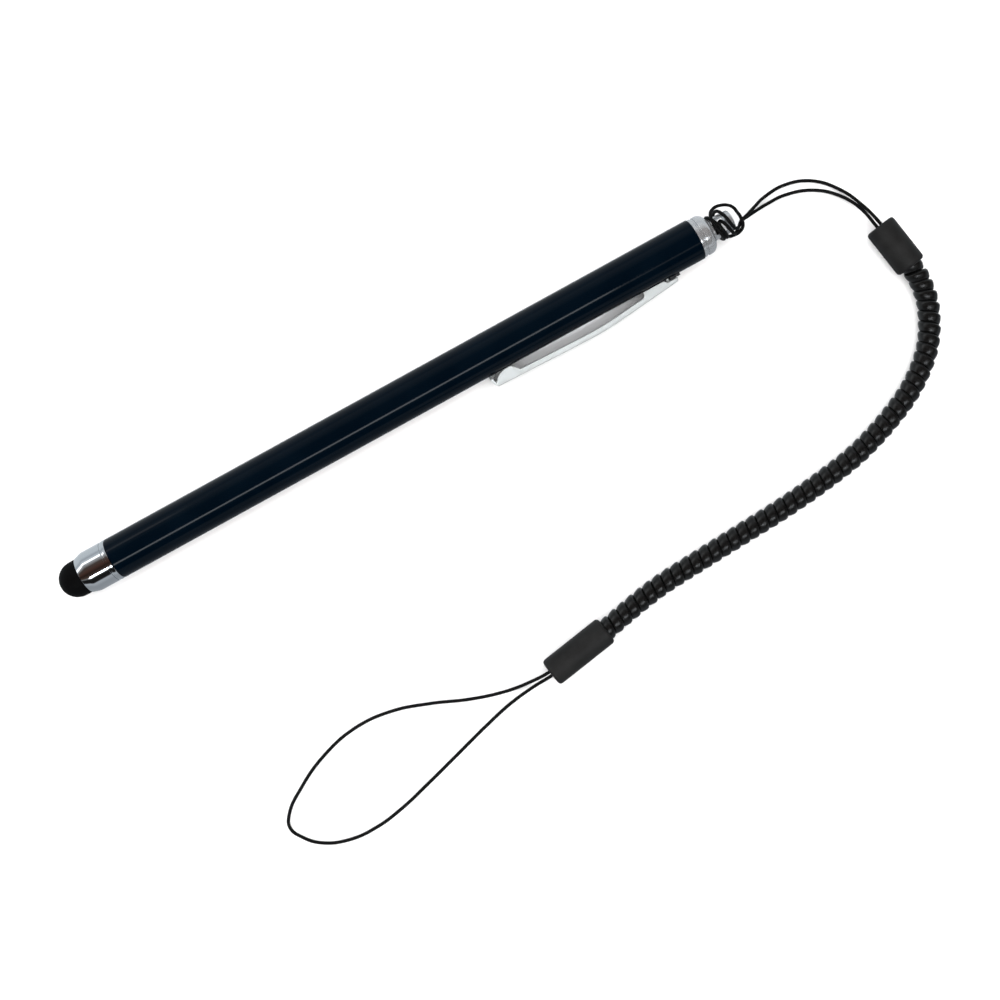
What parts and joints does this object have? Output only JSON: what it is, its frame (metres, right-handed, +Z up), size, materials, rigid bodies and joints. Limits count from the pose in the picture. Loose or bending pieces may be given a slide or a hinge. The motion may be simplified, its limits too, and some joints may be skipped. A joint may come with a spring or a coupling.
{
  "type": "touch-screen stylus with tether",
  "caption": "Slim touch-screen stylus with a rubber dome tip, a pocket clip, and a curly tether that ends in a thin loop for the device.",
  "frame": {"origin": "on the table, under the middle of the pen's box (tether left out)", "axes": "+X along the pen from the rubber tip to the tether post, +Z up; the clip points to -Y and slightly down"},
  "size_m": [0.171, 0.0724, 0.008],
  "materials": {
    "dome_rubber": "smooth matte conductive rubber",
    "chrome": "bright plated",
    "brass": "turned",
    "seal_rubber": "moulded",
    "bush_metal": "turned",
    "lacquer": "gloss blue-black lacquer on aluminium",
    "black_plastic": "moulded",
    "steel": "plain",
    "cord": "fine braided nylon cord",
    "sleeve_rubber": "matte moulded rubber",
    "curly_cord": "semi-gloss plastic-coated coil"
  },
  "bodies": {
    "pen": {"front_bush": "bush_metal", "barrel": "lacquer", "clip_wedge": "black_plastic", "top_bush": "black_plastic", "cap_ring": "chrome", "end_cap": "chrome", "tether_post": "chrome", "post_washer": "steel", "top_loop": "cord", "upper_crimp": "steel", "upper_sleeve": "sleeve_rubber", "coil_cord": "curly_cord", "lower_crimp": "steel", "lower_sleeve": "sleeve_rubber", "device_loop": "cord"},
    "clip": {"clip": "chrome"},
    "seal": {"tip_seal": "seal_rubber"},
    "nose": {"rubber_tip": "dome_rubber", "tip_ferrule": "chrome", "tip_carrier": "brass"}
  },
  "joints": [
    {"name": "clip_flex", "type": "hinge", "parent": "pen", "child": "clip", "pos_m": [0.0555, -0.00206, 0.00277], "axis": [0, -0.3292, 0.9442], "range_deg": [0, 4.5], "stiffness_Nm_per_rad": 2, "springref_deg": -1.15},
    {"name": "tip_advance", "type": "slide", "parent": "pen", "child": "seal", "axis": [-1, 0, 0], "range_m": [0, 0.0048]},
    {"name": "tip_turn", "type": "hinge", "parent": "seal", "child": "nose", "pos_m": [-0.05992, 0.00148, 0.004], "axis": [-1, 0, 0], "range_deg": [0, 2165]}
  ],
  "couplings": [
    {"joint": "tip_turn", "follows": "tip_advance", "rad_per_m": 7854}
  ]
}
